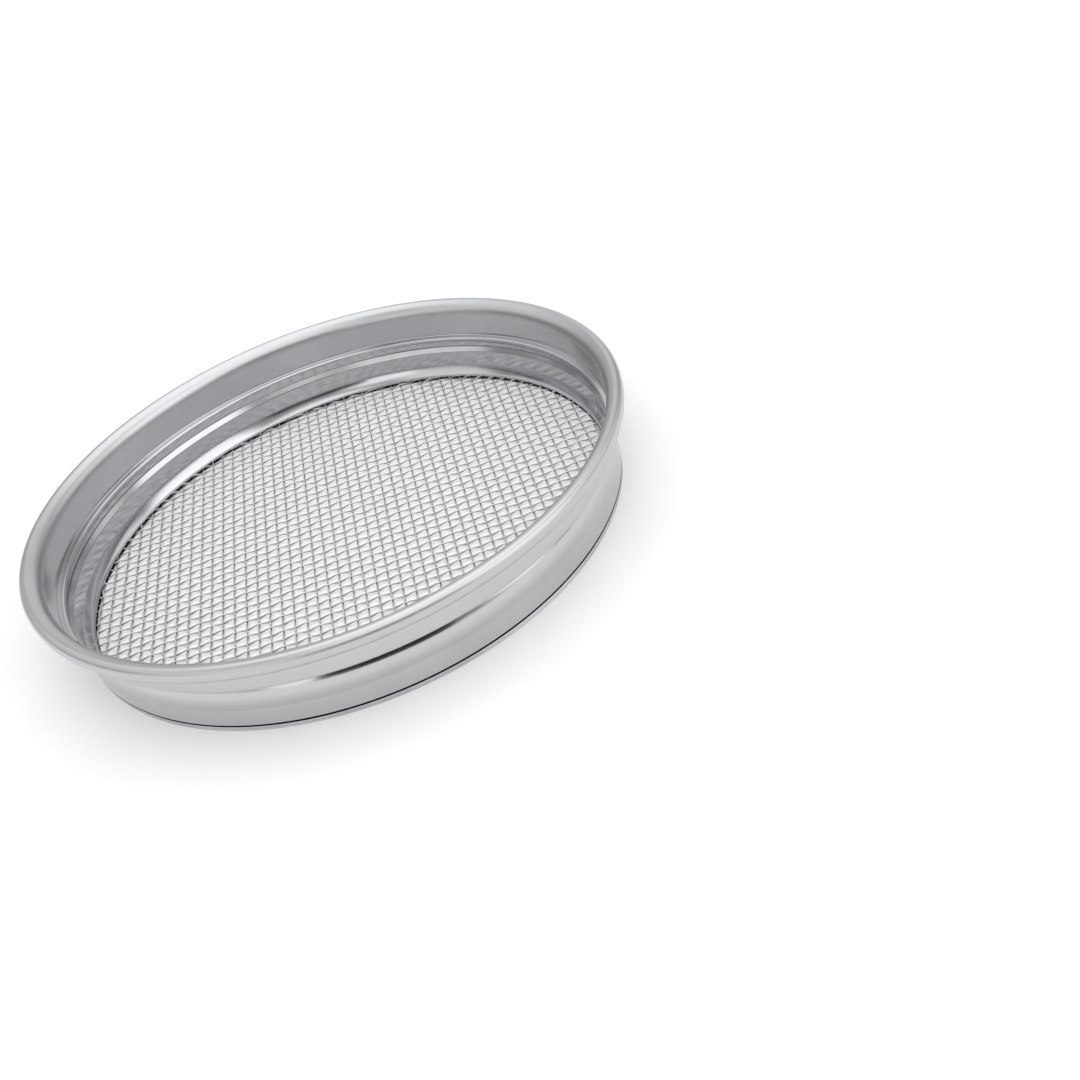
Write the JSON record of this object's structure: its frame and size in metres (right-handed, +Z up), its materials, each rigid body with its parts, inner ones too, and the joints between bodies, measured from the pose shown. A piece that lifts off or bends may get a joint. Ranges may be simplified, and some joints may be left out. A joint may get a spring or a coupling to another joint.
{
  "type": "soil sieve",
  "caption": "Shallow round stainless steel soil sieve with a rolled rim, a narrow waist above a stacking shoulder, and a coarse square-mesh wire cloth clamped between two rings.",
  "frame": {"origin": "centre of the bottom face of the bottom ring, which the sieve stands on", "axes": "+Z up along the axis of the round frame, towards the rolled rim; the cloth's wires run along X and Y"},
  "size_m": [0.22, 0.22, 0.0335],
  "materials": {
    "polished_frame": "polished spun stainless steel, satin on the rolled rim",
    "polished_ring": "polished stainless steel sheet",
    "drawn_wire": "bright drawn stainless steel wire"
  },
  "bodies": {
    "root": {"frame_shell": "polished_frame", "clamp_ring": "polished_ring", "bottom_ring": "polished_ring", "warp_wires": "drawn_wire", "weft_wires": "drawn_wire"}
  },
  "joints": []
}
